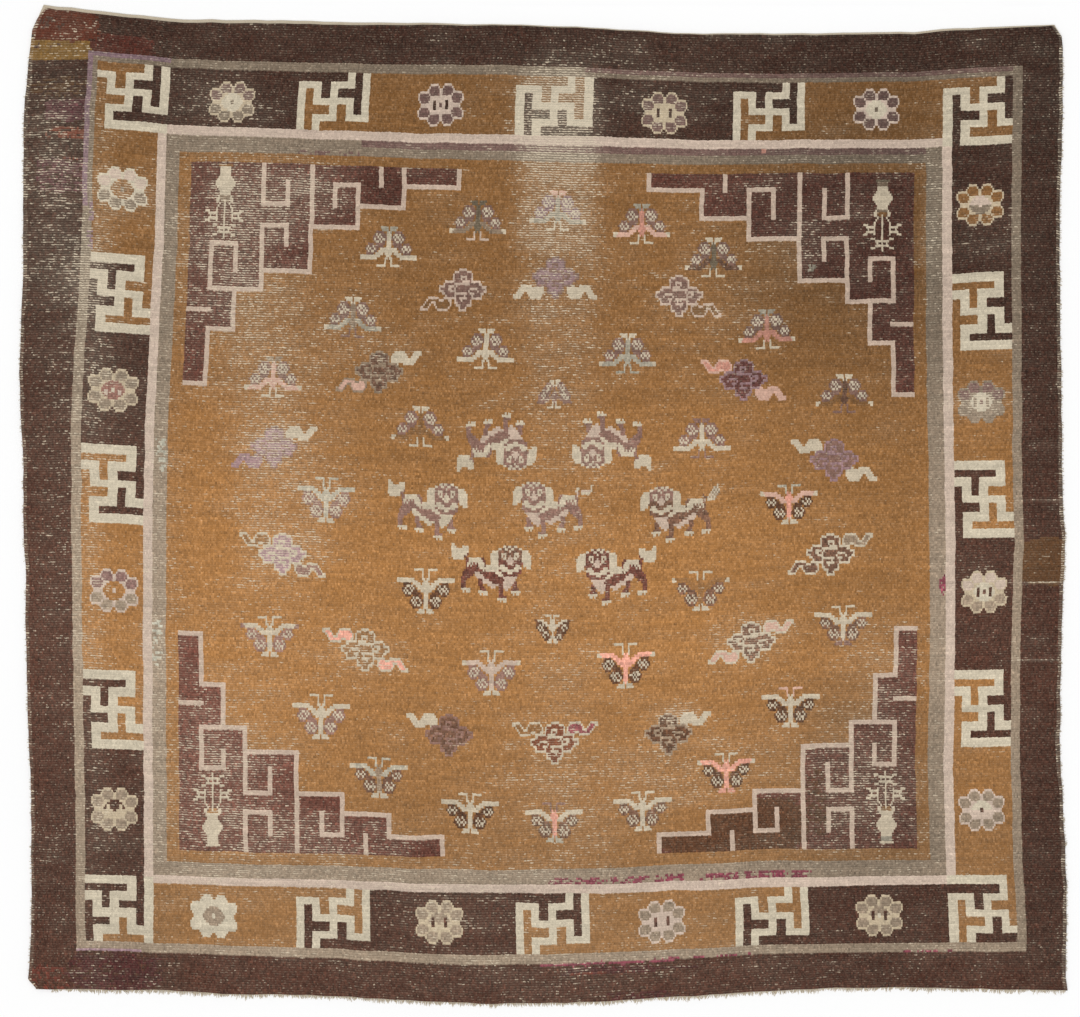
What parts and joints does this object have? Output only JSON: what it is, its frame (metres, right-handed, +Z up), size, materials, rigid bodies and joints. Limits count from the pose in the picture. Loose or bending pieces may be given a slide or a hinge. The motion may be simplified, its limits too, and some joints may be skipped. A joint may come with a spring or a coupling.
{
  "type": "mongolian carpet",
  "caption": "Nearly square hand-knotted wool carpet lying flat, with fretted borders, a figured field, a woven web at one end and short warp fringe at the other.",
  "frame": {"origin": "middle of the carpet's underside, halfway between the outermost points of its outline, fringe included", "axes": "+X across the width along the knot rows, +Y towards the end with the woven web, +Z up out of the pile"},
  "size_m": [2.9386, 2.823, 0.009],
  "materials": {
    "wool_pile": "worn hand-knotted wool pile",
    "cotton_warp": "undyed spun cotton"
  },
  "bodies": {
    "root": {"carpet": "wool_pile", "fringe": "cotton_warp"}
  },
  "joints": []
}
